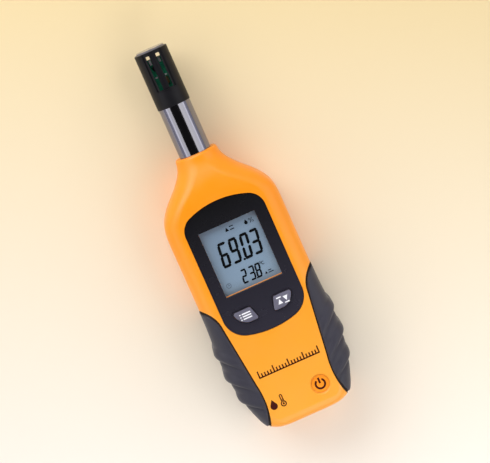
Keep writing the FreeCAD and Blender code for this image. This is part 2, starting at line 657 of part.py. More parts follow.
def moulded_keys():
    """Two raised keys with a skirt under the face and a stem into their dome."""
    x, y = "-key_middle", "-key_middle_low"
    left = joined("mode_key", [
        key_outline("key_cap", ("skirt_back", "key_face")),
        key_outline("key_skirt_plate", ("skirt_back", "skirt_front"), "key_skirt"),
        rod("key_stem", "stem_radius", x, y, ("pill_front", "skirt_back + 0.2"))])
    piece(left)
    piece(mirrored("max_min_key", left))


def power_key():
    x, y = "power_half", "-power_low"
    piece(joined("power_key", [
        rod("power_cap", "power_radius", x, y, ("skirt_back", "power_face")),
        rod("power_skirt_plate", "power_skirt", x, y, ("skirt_back", "power_skirt_front")),
        rod("power_stem", "stem_radius", x, y, ("pill_front", "skirt_back + 0.2"))]))


def cone(name, low_radius, high_radius, x, y, z):
    return tie(doc.addObject("Part::Cone", name), {
        "Radius1": low_radius, "Radius2": high_radius, "Height": f"({z[1]}) - ({z[0]})",
        "Placement.Base.x": x, "Placement.Base.y": y, "Placement.Base.z": z[0]})


def key_springs():
    """Rubber dome and carbon contact under each key, and the mat around the domes."""
    places = {"mode": ("-key_middle", "-key_middle_low"), "max_min": ("key_middle",
                                                                     "-key_middle_low"),
              "power": ("power_half", "-power_low")}
    holes = []
    for key, (x, y) in places.items():
        heights = ("board_front + dome_gap", "skirt_back - dome_gap")
        outer = cone(f"{key}_dome_outer", "dome_base", "dome_top", x, y, heights)
        inner = cone(f"{key}_dome_inner", "dome_base - dome_wall", "dome_top - dome_wall", x, y,
                     heights)
        piece(without(f"{key}_dome", outer, [inner]))
        piece(rod(f"{key}_contact", "pill_radius", x, y, ("pill_back", "pill_front")))
        holes.append(rod(f"{key}_mat_hole", "dome_base + 0.2", x, y,
                         ("board_front - 1", "mat_front + 1")))
    corners = [("-mat_half", "-mat_top"), ("mat_half", "-mat_top"), ("mat_half", "-mat_step"),
               ("mat_neck", "-mat_step"), ("mat_neck", "-mat_foot"),
               ("mat_foot_half", "-mat_foot"), ("mat_foot_half", "-mat_low"),
               ("-mat_foot_half", "-mat_low"), ("-mat_foot_half", "-mat_foot"),
               ("-mat_neck", "-mat_foot"), ("-mat_neck", "-mat_step"), ("-mat_half", "-mat_step")]
    mat = prism("mat_plate", corners, ("board_front", "mat_front"))
    piece(without("keypad_mat", mat, holes))


# Battery and leads.

def battery():
    """Block battery, the foam pad at its end, its snap and the two leads to the board."""
    half = "battery_half"
    corners = [("-" + half, "-battery_top"), (half, "-battery_top"), (half, "-battery_low"),
               ("-" + half, "-battery_low")]
    piece(rounded(prism("battery", corners, ("battery_back", "battery_front")),
                  "battery_corner"))
    piece(block("battery_foam", ("-pad_half", "pad_half"), ("-pad_low", "-battery_low"),
                ("pad_back", "pad_front")))
    piece(block("battery_snap", ("-snap_half", "snap_half"), ("-battery_top", "-snap_top"),
                ("snap_back", "snap_front")))
    for name, x in (("red_lead", "lead_side"), ("black_lead", "-lead_side")):
        level, bend = CELLS["lead_level"], CELLS["lead_bend"]
        across, turn = amount(x), -CELLS["lead_turn"]
        end = Vector(across, -CELLS["snap_top"], level)
        before = Vector(across, turn, level)
        eighth = math.pi / 4
        corner = before + Vector(0, bend * math.sin(eighth), bend * (1 - math.cos(eighth)))
        after = before + Vector(0, bend, bend)
        top = Vector(across, after.y, CELLS["board_back"])
        path = Part.Wire([Part.LineSegment(end, before).toShape(),
                          Part.Arc(before, corner, after).toShape(),
                          Part.LineSegment(after, top).toShape()])
        piece(wire_solid(name, path, CELLS["lead_radius"]))


def wire_solid(name, path, radius):
    """Round wire swept along a path that starts along Y."""
    start = path.Edges[0].Vertexes[0].Point
    ring = Part.Wire(Part.makeCircle(radius, start, Vector(0, 1, 0)))
    solid = doc.addObject("Part::Feature", name)
    solid.Shape = path.makePipeShell([ring], True, False)
    return solid


# Probe.

def probe_tube():
    """Chromed tube, the ring that locks it in the neck, and its seal."""
    outside = shaft("tube_outside", "tube_radius", "tube_low", "tube_top")
    inside = shaft("tube_inside", "tube_bore", "tube_low - 1", "tube_top + 1")
    piece(without("probe_tube", outside, [inside]))
    for name, radius, low, top in (("tube_ring", "ring_radius", "ring_low", "ring_top"),
                                   ("tube_seal", "seal_radius", "seal_low", "seal_top")):
        piece(without(name, shaft(name + "_outside", radius, low, top),
                      [shaft(name + "_inside", "tube_radius", f"{low} - 1", f"{top} + 1")]))


def sensor_cap():
    """Vented cap: a shallow window at the front and the back, two narrow slots through each."""
    profile = [("plug_bore", "plug_low"), ("plug_radius", "plug_low"), ("plug_radius", "tube_top"),
               ("cap_radius", "tube_top"), ("cap_radius", "cap_edge"),
               ("crown_radius", "cap_crown"), ("crown_radius", "cap_top"), ("0", "cap_top"),
               ("0", "cap_roof"), ("cap_bore", "cap_roof"), ("cap_bore", "tube_top"),
               ("plug_bore", "tube_top")]
    stock = turned_body("cap_stock", profile)
    tools = []
    for turn in (0, 180):
        opening = without(f"opening_{turn}", block(
            f"opening_block_{turn}", ("-opening_half", "opening_half"),
            ("opening_low", "opening_top"), ("0", "cap_radius + 2")),
            [shaft(f"opening_floor_{turn}", "opening_floor", "opening_low - 1", "opening_top + 1",
                   z="0")])
        slots = [block(f"slot_{turn}_{side}", (f"{side} * slot_side - slot_half",
                                               f"{side} * slot_side + slot_half"),
                       ("slot_low", "slot_top"), ("cap_bore * 0.5", "cap_radius + 2"))
                 for side in (-1, 1)]
        tool = joined(f"window_tool_{turn}", [opening] + slots)
        tool.Placement = Placement(Vector(0, 0, CELLS["middle"]),
                                   Rotation(Vector(0, 1, 0), turn))
        tool.setExpression("Placement.Base.z", bound("middle"))
        tools.append(tool)
    tools.append(block("crown_notch", ("-notch_half", "notch_half"),
                       ("cap_top - notch_deep", "cap_top + 1"),
                       ("middle + crown_radius - 2", "middle + crown_radius + 2")))
    piece(without("sensor_cap", stock, tools))


def sensor_board():
    """Narrow board in the cap, its holder, the two sensors, solder joints and cable."""
    piece(block("sensor_board", ("-sensor_half", "sensor_half"), ("sensor_low", "sensor_top"),
                ("sensor_back", "sensor_front")))
    holder = shaft("holder_plug", "plug_bore", "holder_low", "holder_top")
    slit = block("holder_slit", ("-sensor_half", "sensor_half"),
                 ("holder_low - 1", "holder_top + 1"), ("sensor_back", "sensor_front"))
    piece(without("board_holder", holder, [slit]))
    piece(block("humidity_sensor", ("wet_side - wet_half", "wet_side + wet_half"),
                ("wet_low", "wet_top"), ("sensor_front", "wet_front")))
    bead = shaft("temperature_sensor", "bead_radius", "bead_low - 1.2", "bead_low + 1.2",
                 "-bead_side", "sensor_front + bead_radius")
    piece(bead)
    joints = []
    for side in (-1, 1):
        for name, length in (("first_joint", "joint_short"), ("second_joint", "joint_long")):
            joints.append(block(f"{name}_{side + 1}",
                                (f"{side} * joint_side - joint_half",
                                 f"{side} * joint_side + joint_half"),
                                (f"{name} - {length}", f"{name} + {length}"),
                                ("sensor_front", "joint_front")))
    piece(joined("sensor_solder", joints))
    piece(wire_solid("sensor_cable", cable_path(), CELLS["cable_radius"]))


def cable_path():
    """From the plug, one gentle double bend down to the axis, then straight up the tube."""
    start = Vector(0, CELLS["plug_top"], CELLS["cable_level"])
    settle = Vector(0, CELLS["cable_bend"], CELLS["middle"])
    end = Vector(0, CELLS["sensor_low"], CELLS["middle"])
    halfway = (start + settle) * 0.5
    span, drop = settle.y - start.y, start.z - settle.z
    radius = (span ** 2 + drop ** 2) / (4 * drop)
    turn = math.asin(span / 2 / radius) / 2
    off = Vector(0, radius * math.sin(turn), -radius * (1 - math.cos(turn)))
    return Part.Wire([Part.Arc(start, start + off, halfway).toShape(),
                      Part.Arc(halfway, settle - off, settle).toShape(),
                      Part.LineSegment(settle, end).toShape()])


def build():
    skin = loft("skin", CASE_STATIONS)
    slab = shared("slab", skin, case_block("slab_block", ("0", "thickness")))
    room = loft("room", ROOM_STATIONS)
    under = loft("under_grips", CASE_STATIONS, "grip_side", "grip_face", "grip_side")
    front_shell(slab, room, under)
    rear_shell(slab, room, under)
    grips(slab, under)
    battery_door(slab)
    display()
    main_board()
    board_parts()
    board_screws()
    case_screws()
    moulded_keys()
    power_key()
    key_springs()
    battery()
    probe_tube()
    sensor_cap()
    sensor_board()


def check_and_write():
    """Stop if anything in the document failed, then write one file per sub-part."""
    failed = [thing.Name for thing in doc.Objects
              if {"Invalid", "Error"} & set(thing.State)]
    if failed:
        raise RuntimeError(f"features that failed: {failed}")
    os.makedirs("parts", exist_ok=True)
    for thing in PIECES:
        shape = thing.Shape
        if shape.isNull() or not shape.isValid() or not shape.Solids:
            raise RuntimeError(f"{thing.Label} has no valid solid")
        shape.exportStep(f"parts/{thing.Label}.step")
        print(thing.Label, len(shape.Solids), round(shape.Volume, 1))


build()
doc.recompute()
check_and_write()
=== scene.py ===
"""Looks of a handheld humidity and temperature meter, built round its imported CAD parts."""
import json
import math
import bpy
from mathutils import Matrix, Vector
from mathutils.bvhtree import BVHTree
from mathutils.kdtree import KDTree


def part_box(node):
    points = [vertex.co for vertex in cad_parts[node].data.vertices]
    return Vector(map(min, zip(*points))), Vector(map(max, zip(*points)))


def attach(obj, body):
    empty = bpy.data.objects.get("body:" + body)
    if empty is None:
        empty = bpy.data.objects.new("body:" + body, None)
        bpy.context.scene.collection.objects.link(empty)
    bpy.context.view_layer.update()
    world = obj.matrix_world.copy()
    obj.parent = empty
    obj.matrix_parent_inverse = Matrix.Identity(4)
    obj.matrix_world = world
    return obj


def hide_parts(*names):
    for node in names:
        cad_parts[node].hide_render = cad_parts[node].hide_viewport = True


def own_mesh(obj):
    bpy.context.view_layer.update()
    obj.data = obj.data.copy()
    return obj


MM = 0.001
NECK_LONG = 20
PARTING = 16.0

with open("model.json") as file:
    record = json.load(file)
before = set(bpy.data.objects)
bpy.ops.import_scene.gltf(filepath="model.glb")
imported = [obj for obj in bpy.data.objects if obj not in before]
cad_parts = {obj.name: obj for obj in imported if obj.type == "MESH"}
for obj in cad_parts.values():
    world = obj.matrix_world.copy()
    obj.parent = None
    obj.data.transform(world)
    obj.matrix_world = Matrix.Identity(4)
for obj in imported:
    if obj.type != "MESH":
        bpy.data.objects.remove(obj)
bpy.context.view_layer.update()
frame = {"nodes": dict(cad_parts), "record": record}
nodes = frame["nodes"]


# Materials.

def linear(code):
    """Linear colour from an sRGB hex code."""
    parts = [int(code[place:place + 2], 16) / 255 for place in (1, 3, 5)]
    return tuple(part / 12.92 if part <= 0.04045 else ((part + 0.055) / 1.055) ** 2.4
                 for part in parts) + (1.0,)


def add(material, kind, inputs=None, stops=None, **settings):
    """Add one node: its properties, the stops of its ramp, and what feeds its inputs."""
    made = material.node_tree.nodes.new(kind)
    for name, setting in settings.items():
        setattr(made, name, setting)
    for index, (place, code) in enumerate(stops or []):
        elements = made.color_ramp.elements
        element = elements[index] if index < 2 else elements.new(place)
        element.position = place
        element.color = linear(code)
    for name, feed in (inputs or {}).items():
        if isinstance(feed, bpy.types.NodeSocket):
            material.node_tree.links.new(feed, made.inputs[name])
        else:
            made.inputs[name].default_value = feed
    return made


def finish(name, **sockets):
    """New material with one Principled surface, ready for its patterns."""
    material = bpy.data.materials.new(name)
    material.use_nodes = True
    material.node_tree.nodes.clear()
    surface = add(material, "ShaderNodeBsdfPrincipled",
                  {socket.replace("_", " "): value for socket, value in sockets.items()})
    add(material, "ShaderNodeOutputMaterial", {"Surface": surface.outputs["BSDF"]})
    return material, surface


def per_metre(size_mm):
    """Noise scale that gives features of this size."""
    return 1 / (size_mm * MM)


def grain(material, surface, size_mm, height_mm, roughness):
    """Moulded grain as bump, with a roughness that wanders; hands on a broad noise too."""
    # Real grain is 0.03 to 0.1 mm across, too fine to see here, so it is two to four times coarser.
    place = add(material, "ShaderNodeTexCoord")
    fine = add(material, "ShaderNodeTexNoise", {
        "Vector": place.outputs["Object"], "Scale": per_metre(size_mm), "Detail": 3.0,
        "Roughness": 0.6})
    bump = add(material, "ShaderNodeBump", {
        "Height": fine.outputs["Fac"], "Strength": 0.6, "Distance": height_mm * MM})
    broad = add(material, "ShaderNodeTexNoise", {
        "Vector": place.outputs["Object"], "Scale": per_metre(size_mm * 40), "Detail": 4.0})
    spread = add(material, "ShaderNodeMapRange", {
        "Value": broad.outputs["Fac"], "From Min": 0.3, "From Max": 0.7,
        "To Min": roughness[0], "To Max": roughness[1]})
    material.node_tree.links.new(bump.outputs["Normal"], surface.inputs["Normal"])
    material.node_tree.links.new(spread.outputs["Result"], surface.inputs["Roughness"])
    return place, broad.outputs["Fac"]


def tinted(material, surface, mask, dark, light, low=0.3, high=0.7):
    """Let the base colour drift between two close tones."""
    tone = add(material, "ShaderNodeValToRGB", {"Fac": mask}, stops=[(low, dark), (high, light)])
    material.node_tree.links.new(tone.outputs["Color"], surface.inputs["Base Color"])


def lengthwise(material, place, low, high):
    """Share of the way along the instrument, from 0 at one place to 1 at the other."""
    split = add(material, "ShaderNodeSeparateXYZ", {"Vector": place.outputs["Object"]})
    along = add(material, "ShaderNodeMapRange", {
        "Value": split.outputs["Y"], "From Min": low, "From Max": high})
    return along.outputs["Result"]


def drifting(material, share, noise, amount):
    """A share that also wanders a little with a noise."""
    wander = add(material, "ShaderNodeMath", {0: noise, 1: amount}, operation="MULTIPLY")
    both = add(material, "ShaderNodeMath", {0: share, 1: wander.outputs["Value"]},
               operation="ADD")
    return both.outputs["Value"]


def moulded_abs():
    """Orange ABS from a spark-eroded mould: an even satin, with painted light making it a touch
    paler towards the heel.
    """
    material, surface = finish("abs_orange_moulded", IOR=1.53, Subsurface_Weight=0.08,
                               Subsurface_Scale=0.002)
    surface.inputs["Subsurface Radius"].default_value = (1.0, 0.35, 0.08)
    place, drift = grain(material, surface, 0.28, 0.012, (0.34, 0.46))
    low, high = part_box("front_shell")
    along = lengthwise(material, place, low.y, high.y - NECK_LONG * MM)
    # Painted light: the base colour pales towards the heel, as if more light fell on the lower end.
    tinted(material, surface, drifting(material, along, drift, 0.1),
           "#FDA62E", "#FC9402", 0.1, 1.0)
    return material


def overmoulded_rubber():
    """Charcoal thermoplastic rubber: dull, faintly violet, with a soft bloom at grazing angles."""
    material, surface = finish("tpr_charcoal_overmould", IOR=1.5, Sheen_Weight=0.12,
                               Sheen_Roughness=0.5)
    _, drift = grain(material, surface, 0.22, 0.02, (0.5, 0.64))
    tinted(material, surface, drift, "#252431", "#2D2B39")
    return material


def printed_film():
    """Polycarbonate film printed matt black on its back: nearly flat, with a whisper of texture,
    and a painted reflection that greys it towards the bottom.
    """
    material, surface = finish("polycarbonate_film_black", IOR=1.58,
                               Specular_IOR_Level=0.4)
    place, drift = grain(material, surface, 0.16, 0.004, (0.25, 0.28))
    low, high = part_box("display_panel")
    along = lengthwise(material, place, low.y, high.y)
    # Painted reflection: the black is painted greyer at the bottom and darker towards the top.
    tinted(material, surface, drifting(material, along, drift, 0.05),
           "#2C2A35", "#101012", 0.05, 1.0)
    return material


def acrylic_window():
    """Clear acrylic: almost invisible but for a clean reflection and a breath of haze."""
    material, surface = finish("acrylic_window_clear", IOR=1.49, Alpha=0.04)
    _, drift = grain(material, surface, 4.0, 0.002, (0.03, 0.07))
    tinted(material, surface, drift, "#0C0F12", "#14181C")
    return material


def liquid_crystal():
    """Reflective liquid crystal cell: grey-blue, with painted shade making it a little darker
    towards its upper left.
    """
    material, surface = finish("lcd_cell_reflective", IOR=1.5)
    place, _ = grain(material, surface, 0.3, 0.002, (0.3, 0.36))
    split = add(material, "ShaderNodeSeparateXYZ", {"Vector": place.outputs["Object"]})
    low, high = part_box("lcd_glass")
    along = add(material, "ShaderNodeMapRange", {
        "Value": split.outputs["Y"], "From Min": low.y, "From Max": high.y,
        "To Max": 0.7})
    across = add(material, "ShaderNodeMapRange", {
        "Value": split.outputs["X"], "From Min": high.x, "From Max": low.x,
        "To Max": 0.3})
    # Painted shade: the cell darkens towards its upper left, where the window's rim shades it.
    shade = add(material, "ShaderNodeMath", {0: along.outputs["Result"],
                                             1: across.outputs["Result"]}, operation="ADD")
    tone = add(material, "ShaderNodeValToRGB", {"Fac": shade.outputs["Value"]},
               stops=[(0.0, "#8AA2B8"), (1.0, "#7E92A8")])
    material.node_tree.links.new(tone.outputs["Color"], surface.inputs["Base Color"])
    return material


def ink(name, dark, light, roughness):
    """Printing ink or a dark segment: flat, with the faint unevenness of a screen print."""
    material, surface = finish(name, IOR=1.5, Specular_IOR_Level=0.12)
    _, drift = grain(material, surface, 0.12, 0.004, (roughness, roughness + 0.1))
    tinted(material, surface, drift, dark, light)
    return material


def key_plastic():
    """Grey-violet ABS key tops, lightly textured, catching light on their rounded edges."""
    material, surface = finish("abs_key_grey", IOR=1.53)
    _, drift = grain(material, surface, 0.2, 0.01, (0.34, 0.44))
    tinted(material, surface, drift, "#5F5D6E", "#6A6879")
    return material


def chrome_plate():
    """Bright chrome over a drawn brass tube: a mirror with faint drawing lines along it, its colour
    painted darker and bluer at grazing angles as painted reflection.
    """
    material, surface = finish("chrome_plate_bright", Metallic=1.0)
    place = add(material, "ShaderNodeTexCoord")
    stretch = add(material, "ShaderNodeMapping", {
        "Vector": place.outputs["Object"],
        "Scale": (per_metre(0.35), per_metre(9), per_metre(0.35))})
    lines = add(material, "ShaderNodeTexNoise", {"Vector": stretch.outputs["Vector"],
                                                 "Scale": 1.0, "Detail": 3.0})
    spread = add(material, "ShaderNodeMapRange", {
        "Value": lines.outputs["Fac"], "From Min": 0.3, "From Max": 0.7,
        "To Min": 0.07, "To Max": 0.15})
    bump = add(material, "ShaderNodeBump", {"Height": lines.outputs["Fac"], "Strength": 0.25,
                                            "Distance": 0.004 * MM})
    material.node_tree.links.new(spread.outputs["Result"], surface.inputs["Roughness"])
    material.node_tree.links.new(bump.outputs["Normal"], surface.inputs["Normal"])
    # Painted reflection: Layer Weight facing darkens and blues the base colour towards grazing
    # angles, standing in for dimmer reflections at the tube's sides.
    facing = add(material, "ShaderNodeLayerWeight", {"Blend": 0.5})
    tinted(material, surface, drifting(material, facing.outputs["Facing"],
                                       lines.outputs["Fac"], 0.1),
           "#A6A4AB", "#86879A", 0.08, 0.34)
    return material


def cap_plastic():
    """Black glass-filled nylon cap: a dark sandy skin, with a much smoother end face that is
    painted pale grey as a painted highlight.
    """
    material, surface = finish("nylon_cap_black", IOR=1.53, Specular_IOR_Level=0.2)
    place, drift = grain(material, surface, 0.18, 0.014, (0.4, 0.5))
    low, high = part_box("sensor_cap")
    along = lengthwise(material, place, high.y - 1.0 * MM, high.y - 0.3 * MM)
    # Painted highlight: the last millimetre towards the end face pales to light grey, as where the
    # crown catches the light.
    tinted(material, surface, drifting(material, along, drift, 0.05),
           "#0D0C11", "#7B787F", 0.02, 1.0)
    smoother = add(material, "ShaderNodeMapRange", {
        "Value": along, "To Min": 0.45, "To Max": 0.13})
    material.node_tree.links.new(smoother.outputs["Result"], surface.inputs["Roughness"])
    return material


def solder_mask():
    """Green solder mask over copper: glossy, with the tracks showing as paler lines."""
    material, surface = finish("fr4_solder_mask_green", IOR=1.5)
    place, _ = grain(material, surface, 0.3, 0.004, (0.22, 0.34))
    tracks = add(material, "ShaderNodeTexBrick", {
        "Vector": place.outputs["Object"], "Scale": per_metre(2.4), "Mortar Size": 0.09,
        "Color1": linear("#0E6B4C"), "Color2": linear("#11714F"),
        "Mortar": linear("#2F9A72")})
    material.node_tree.links.new(tracks.outputs["Color"], surface.inputs["Base Color"])
    return material


def plain_moulding(name, dark, light, roughness, **sockets):
    """Small moulded or extruded part in one tone, with a little grain and drift."""
    material, surface = finish(name, **sockets)
    _, drift = grain(material, surface, 0.25, 0.01, roughness)
    tinted(material, surface, drift, dark, light)
    return material


def elastomer_strip():
    """Zebra connector: conducting and insulating rubber in fine stripes across its length."""
    material, surface = finish("zebra_elastomer", IOR=1.43, Roughness=0.55)
    place = add(material, "ShaderNodeTexCoord")
    stripes = add(material, "ShaderNodeTexWave", {
        "Vector": place.outputs["Object"], "Scale": per_metre(0.8) / 6.28}, wave_type="BANDS",
        bands_direction="X")
    tinted(material, surface, stripes.outputs["Fac"], "#2B2723", "#D8CFC4", 0.45, 0.55)
    return material


def battery_jacket():
    """Printed steel jacket of a block battery: black with a copper-coloured band at one end."""
    material, surface = finish("battery_jacket", Metallic=0.6, Roughness=0.3)
    place = add(material, "ShaderNodeTexCoord")
    low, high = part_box("battery")
    band = add(material, "ShaderNodeValToRGB", {"Fac": lengthwise(material, place, low.y, high.y)},
               stops=[(0.7, "#17171B"), (0.705, "#B87333")])
    material.node_tree.links.new(band.outputs["Color"], surface.inputs["Base Color"])
    return material


MATERIALS = {
    "orange_shell": moulded_abs(),
    "grip_rubber": overmoulded_rubber(),
    "panel_plastic": printed_film(),
    "clear_lens": acrylic_window(),
    "lcd_cell": liquid_crystal(),
    "key_plastic": key_plastic(),
    "chromed_tube": chrome_plate(),
    "cap_plastic": cap_plastic(),
    "board_laminate": solder_mask(),
    "connector_rubber": elastomer_strip(),
    "battery_jacket": battery_jacket(),
    "white_plastic": plain_moulding("abs_white", "#DEDED8", "#E8E8E3", (0.35, 0.45)),
    "chip_epoxy": plain_moulding("epoxy_chip", "#5A4A30", "#6E5A3A", (0.35, 0.5)),
    "tinned_metal": plain_moulding("tinned_solder", "#D9D9DC", "#E8E8EA", (0.45, 0.6),
                                   Metallic=0.3),
    "can_sleeve": plain_moulding("pvc_sleeve_navy", "#141C33", "#1A2440", (0.2, 0.3)),
    "screw_steel": plain_moulding("zinc_plated_steel", "#A9AAAE", "#BCBDC0", (0.25, 0.4),
                                  Metallic=1.0),
    "silicone": plain_moulding("silicone_grey", "#B7B7B4", "#C6C6C3", (0.45, 0.6)),
    "carbon_rubber": plain_moulding("carbon_rubber", "#121212", "#1A1A1A", (0.6, 0.75)),
    "snap_plastic": plain_moulding("pvc_black", "#151517", "#1D1D20", (0.35, 0.5)),
    "red_insulation": plain_moulding("pvc_wire_red", "#A3150F", "#B31B14", (0.25, 0.35)),
    "black_insulation": plain_moulding("pvc_wire_black", "#141416", "#1C1C1F", (0.25, 0.35)),
    "ring_metal": plain_moulding("turned_steel", "#9C9DA0", "#AFB0B3", (0.25, 0.4),
                                 Metallic=1.0),
    "seal_rubber": plain_moulding("nitrile_black", "#17171A", "#1F1F22", (0.55, 0.7)),
    "foam": plain_moulding("foam_charcoal", "#26262A", "#333338", (0.85, 0.95)),
}
KEY_ORANGE = plain_moulding("abs_orange_key", "#FA9006", "#FC960C", (0.34, 0.46), IOR=1.53)
# Painted shadow: near-black rubber colour on the grip's rim and sides, where shade falls in the
# groove beside the shell.
GROOVE_PAINTED_SHADE = plain_moulding("tpr_groove_painted_shade", "#08080A", "#0D0D10", (0.6, 0.75))
INKS = {
    "print": ink("pad_print_maroon", "#3B0D07", "#45120B", 0.55),
    "segment": ink("lcd_segment_dark", "#040507", "#08090C", 0.4),
    "faint": ink("lcd_segment_faint", "#5A6877", "#617080", 0.3),
    "legend": ink("legend_white", "#EDEDF2", "#FAFAFC", 0.4),
}


def dress_nodes():
    """Give every CAD node the material of its slot in the record."""
    for part in frame["record"]["subparts"]:
        piece = nodes[part["node"]]
        piece.data.materials.clear()
        piece.data.materials.append(MATERIALS[part["material_slot"]])
    nodes["power_key"].data.materials[0] = KEY_ORANGE


def soften_edges(name, width_mm, steps=3):
    """Round the sharp edges of a CAD node as its mould or tool would."""
    bevel = nodes[name].modifiers.new("edge_rounding", "BEVEL")
    bevel.width = width_mm * MM
    bevel.segments = steps
    bevel.limit_method = "ANGLE"
    bevel.angle_limit = math.radians(35)
    bevel.harden_normals = False


# Pieces made here.

def solid_from(name, points, faces, material, body, smooth=True):
    """Mesh piece from its points and faces, riding on a CAD body."""
    mesh = bpy.data.meshes.new(name)
    mesh.from_pydata([tuple(point) for point in points], [], faces)
    mesh.validate()
    mesh.update()
    for face in mesh.polygons:
        face.use_smooth = smooth
    piece = bpy.data.objects.new(name, mesh)
    bpy.context.scene.collection.objects.link(piece)
    mesh.materials.append(material)
    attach(piece, body)
    return piece


def flat_print(name, outlines, level, thick, material, body):
    """Thin raised shapes, one for each closed outline of (x, y) points in millimetres."""
    points, faces = [], []
    for outline in outlines:
        area = sum(a[0] * b[1] - b[0] * a[1]
                   for a, b in zip(outline, outline[1:] + outline[:1]))
        loop = outline if area > 0 else outline[::-1]
        first, count = len(points), len(loop)
        points += [Vector((x * MM, y * MM, level)) for x, y in loop]
        points += [Vector((x * MM, y * MM, level + thick)) for x, y in loop]
        faces.append(list(range(first + count - 1, first - 1, -1)))
        faces.append(list(range(first + count, first + 2 * count)))
        for index in range(count):
            following = (index + 1) % count
            faces.append([first + index, first + following, first + count + following,
                          first + count + index])
    return solid_from(name, points, faces, material, body, smooth=False)


# Grips: smooth rubber with three slanting ridges on each side. Sizes are in millimetres, and a
# ridge's place is the value of Y where its crest meets the outer edge.

RIDGE_PEAKS = (-53.2, -65.8, -78.2)
RIDGE_HEIGHTS = (1.25, 1.25, 1.15)
RIDGE_SLOPE = 1.15
RIDGE_RISE = 4.4
RIDGE_FALL = 3.0
RIDGE_REACH = 9.5
CREASE_DEPTH = 0.5
CREASE_WIDTH = 0.9
GRIP_ROWS = 150
GRIP_COLUMNS = 36
GRIP_CENTRE = 14.0
GRIP_DEEP = 1.2
GRIP_SIDE = 0.4
SIDE_REACH = 6.0
GRIP_PROUD = 0.25
BACKING = 0.05
GROOVE_WIDTH = 0.6
GROOVE_LEVEL = 0.3
EDGE_ROUND = 0.8
SEAM_ROUND = 0.3
SEAM_GAP = 0.05
WALL_GAP = 0.25
WALL_LEAP = 0.3
WALL_TURN = 0.75
SCAN_FROM = 60.0
SCAN_STEP = 0.2
SCAN_SWEEP = 88
RIM_SPACING = 0.1
EDGE_STEPS = (0.0, 0.3, 0.56, 0.62, 0.72, 0.9, 1.15, 1.5)


def smoothstep(share):
    share = min(max(share, 0.0), 1.0)
    return share * share * (3 - 2 * share)


def ridge_height(along, inward):
    """Height in millimetres: each ridge swells towards the end, then drops to a sharp crease."""
    skewed = along + RIDGE_SLOPE * inward
    fade = math.exp(-(inward / RIDGE_REACH) ** 2)
    height = 0.0
    for peak, tall in zip(RIDGE_PEAKS, RIDGE_HEIGHTS):
        past = peak - skewed
        if past < 0:
            height += tall * math.sin(max(1 + past / RIDGE_RISE, 0.0) * math.pi / 2)
        else:
            height += tall * max(1 - (past / RIDGE_FALL) ** 1.7, 0.0)
        fold = (past - RIDGE_FALL) / CREASE_WIDTH
        height -= CREASE_DEPTH * math.exp(-fold * fold)
    return height * fade


def outer_tree(name):
    """Search tree over the mesh of a CAD node."""
    mesh = nodes[name].data
    return BVHTree.FromPolygons([vertex.co.copy() for vertex in mesh.vertices],
                                [list(face.vertices) for face in mesh.polygons])


def spread_out(length, count):
    """Distances from 0 to a length: close together at the start, then evenly spaced."""
    first = [step * min(length / 4, 1.0) for step in EDGE_STEPS]
    rest = count - len(first) + 1
    return first[:-1] + [first[-1] + (length - first[-1]) * index / rest
                         for index in range(rest + 1)]


def parting_level(face):
    """Height at which the grip of this half ends."""
    return (PARTING + (SEAM_GAP if face > 0 else 0)) * MM


def grip_row(shell, along, face):
    """Points on the recess floor from its inner wall round to the parting line."""
    centre = Vector((GRIP_CENTRE * MM, along, (PARTING + face * 0.3) * MM))

    def seen(angle):
        ray = Vector((math.cos(angle), 0, face * math.sin(angle)))
        return shell.ray_cast(centre + ray * SCAN_FROM * MM, -ray)[:2]

    samples, bend = [], None
    for index in range(int(SCAN_SWEEP / SCAN_STEP)):
        point, normal = seen(math.radians(SCAN_STEP) * index)
        if point is None:
            continue
        if samples:
            leap = (point - centre).length - (samples[0] - centre).length
            if abs(leap) > WALL_LEAP * MM or normal.dot(bend) < WALL_TURN:
                break
        samples.insert(0, point)
        bend = normal
    samples[-1].z = parting_level(face)
    lengths = [0.0]
    for before, after in zip(samples, samples[1:]):
        lengths.append(lengths[-1] + (after - before).length)
    row, place = [], 0
    for wanted in spread_out(lengths[-1] / MM, GRIP_COLUMNS):
        while place < len(samples) - 2 and lengths[place + 1] < wanted * MM:
            place += 1
        share = (wanted * MM - lengths[place]) / (lengths[place + 1] - lengths[place])
        row.append(samples[place].lerp(samples[place + 1], share))
    return row


def grip(face):
    """Both grips of one case half, the right one first; face is 1 for front and -1 for rear."""
    half = "front" if face > 0 else "rear"
    shell = outer_tree(f"{half}_shell")
    low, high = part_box(f"{half}_right_grip")
    top, end = high.y + WALL_GAP * MM, low.y
    middle = (top - end) / 2 / MM
    offsets = spread_out(middle, GRIP_ROWS // 2)
    levels = ([top - offset * MM for offset in offsets]
              + [end + offset * MM for offset in reversed(offsets[:-1])])
    rows = [grip_row(shell, along, face) for along in levels]
    smooth_rows(rows)
    close_grip(half, rows, face)


def smooth_rows(rows):
    """Even out the small facets that the recess floor hands on."""
    for _ in range(3):
        for i in range(1, len(rows) - 1):
            for j in range(len(EDGE_STEPS), GRIP_COLUMNS):
                mean = (rows[i - 1][j] + rows[i + 1][j] + rows[i][j - 1] + rows[i][j + 1]) / 4
                rows[i][j] = rows[i][j].lerp(mean, 0.5)


def rim_tree(rows):
    """Search tree along the grip's rim, all but its parting line."""
    rim = rows[0][::-1] + [row[0] for row in rows] + rows[-1]
    dense = []
    for before, after in zip(rim, rim[1:]):
        count = max(int((after - before).length / (RIM_SPACING * MM)), 1)
        dense += [before.lerp(after, index / count) for index in range(count)]
    tree = KDTree(len(dense))
    for index, point in enumerate(dense):
        tree.insert(point, index)
    tree.balance()
    return tree


